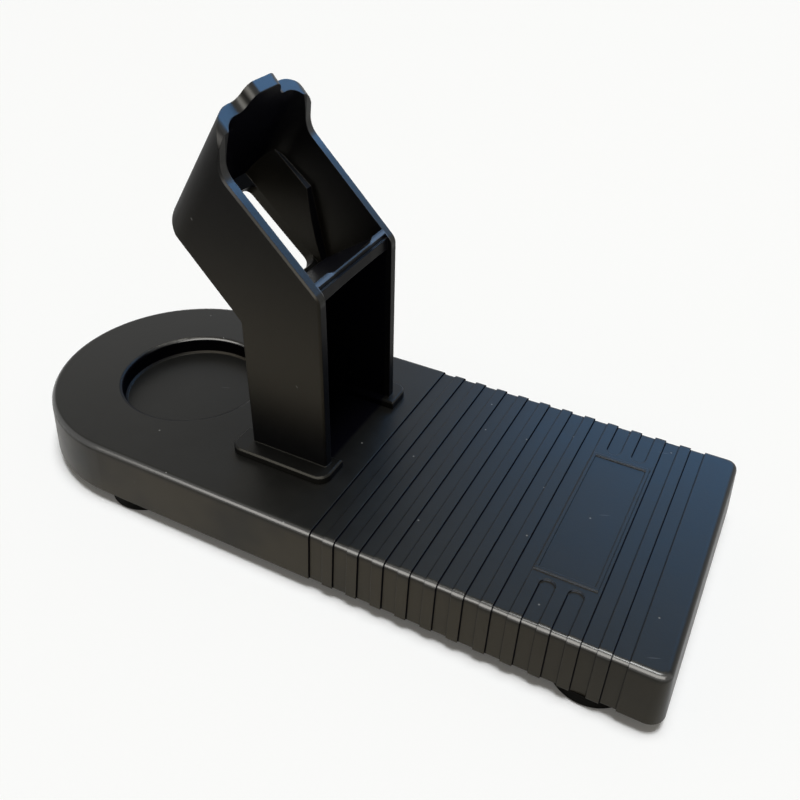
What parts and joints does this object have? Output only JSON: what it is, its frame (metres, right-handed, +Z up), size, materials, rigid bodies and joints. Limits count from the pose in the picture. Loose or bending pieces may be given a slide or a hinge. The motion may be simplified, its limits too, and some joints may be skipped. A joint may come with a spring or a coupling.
{
  "type": "hair clipper stand",
  "caption": "Desktop stand for a hair clipper: low black base with a ribbed end and a round recess, and a bent post with a tilted open cradle that holds the clipper.",
  "frame": {"origin": "on the table, under the middle of the base", "axes": "X along the base with the rounded end at minus X, Y across the base, Z up"},
  "size_m": [0.17, 0.07, 0.096],
  "materials": {
    "base_plastic": "satin black moulding with a fine grain",
    "cover_plastic": "matt black moulding",
    "cradle_plastic": "satin black moulding with a fine grain",
    "foot_rubber": "matt black rubber",
    "screw_steel": "plain steel"
  },
  "bodies": {
    "root": {"base_shell": "base_plastic", "bottom_cover": "cover_plastic", "cradle": "cradle_plastic", "foot_1": "foot_rubber", "foot_2": "foot_rubber", "foot_3": "foot_rubber", "foot_4": "foot_rubber", "cradle_screws": "screw_steel"}
  },
  "joints": []
}
